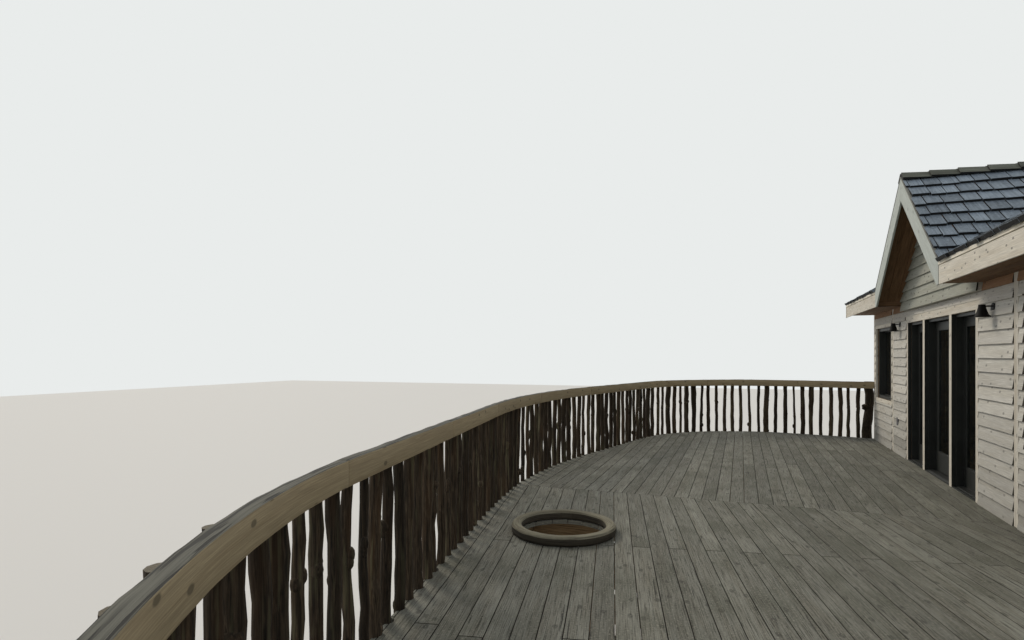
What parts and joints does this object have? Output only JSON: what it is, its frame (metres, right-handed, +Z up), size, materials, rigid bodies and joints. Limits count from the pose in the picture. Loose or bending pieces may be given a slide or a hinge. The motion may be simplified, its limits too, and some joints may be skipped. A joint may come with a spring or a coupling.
{
  "type": "timber tree house: cabin on a raised deck with a curved sapling railing",
  "caption": "Small timber cabin with a front gable over a glazed door, on a raised curved deck with a sapling railing and a round curb where a trunk passes through.",
  "frame": {"origin": "foot of the log post under the middle of the door, in the plane of the front wall, on the ground", "axes": "+X along the front wall to the right as seen from the deck, +Y into the cabin, +Z up"},
  "size_m": [15.1454, 10.654, 7.3885],
  "materials": {
    "deck_boards": "weathered, unpainted",
    "framing": "sawn, weathered",
    "logs": "peeled log",
    "bark": "bark left on",
    "rail": "weathered, sawn",
    "collar": "weathered",
    "siding": "weathered grey boards",
    "trim": "weathered grey boards",
    "shakes": "split wooden shakes, slate grey",
    "soffit": "dark stained",
    "dark_frame": "satin dark green-black",
    "glass": "clear",
    "black_iron": "black powder coat",
    "grey_plastic": "moulded",
    "steel": "plated"
  },
  "bodies": {
    "house": {"deck_far": "deck_boards", "deck_near": "deck_boards", "tree_collar": "collar", "deck_joists": "framing", "tree_hole_headers": "framing", "rim_joist": "framing", "rim_beam": "framing", "deck_beam": "framing", "cabin_beams": "framing", "log_posts": "logs", "handrail": "rail", "end_posts": "bark", "cabin_joists": "framing", "cabin_rim_boards": "framing", "cabin_floor": "framing", "front_wall_left": "siding", "front_wall_right": "siding", "front_gable_wall": "siding", "back_wall": "siding", "left_wall": "siding", "right_wall": "siding", "corner_boards": "trim", "wall_battens": "trim", "main_roof_front": "shakes", "main_roof_back": "shakes", "fascias": "trim", "barge_boards": "trim", "main_ridge_cap": "shakes", "gable_roof_left": "shakes", "gable_roof_right": "shakes", "gable_rake_boards": "trim", "gable_soffit": "soffit", "gable_ridge_cap": "shakes", "door_frame": "dark_frame", "sidelight_glass": "glass", "threshold": "dark_frame", "hinge_pins": "steel", "door_casing": "trim", "window_frames": "dark_frame", "window_glass": "glass", "window_casings": "trim", "wall_lamps": "black_iron", "outlet_box": "grey_plastic", "balusters_1": "bark", "balusters_2": "bark", "balusters_3": "bark", "balusters_4": "bark", "balusters_5": "bark", "balusters_6": "bark", "balusters_7": "bark", "balusters_8": "bark", "balusters_9": "bark", "balusters_10": "bark", "balusters_11": "bark"},
    "door": {"door_leaf": "dark_frame", "door_glass": "glass", "door_handle": "black_iron", "hinge_knuckles": "steel"}
  },
  "joints": [
    {"name": "door_hinge", "type": "hinge", "parent": "house", "child": "door", "pos_m": [-0.52325, 0.17, 3], "axis": [0, 0, 1], "range_deg": [0, 95]}
  ]
}
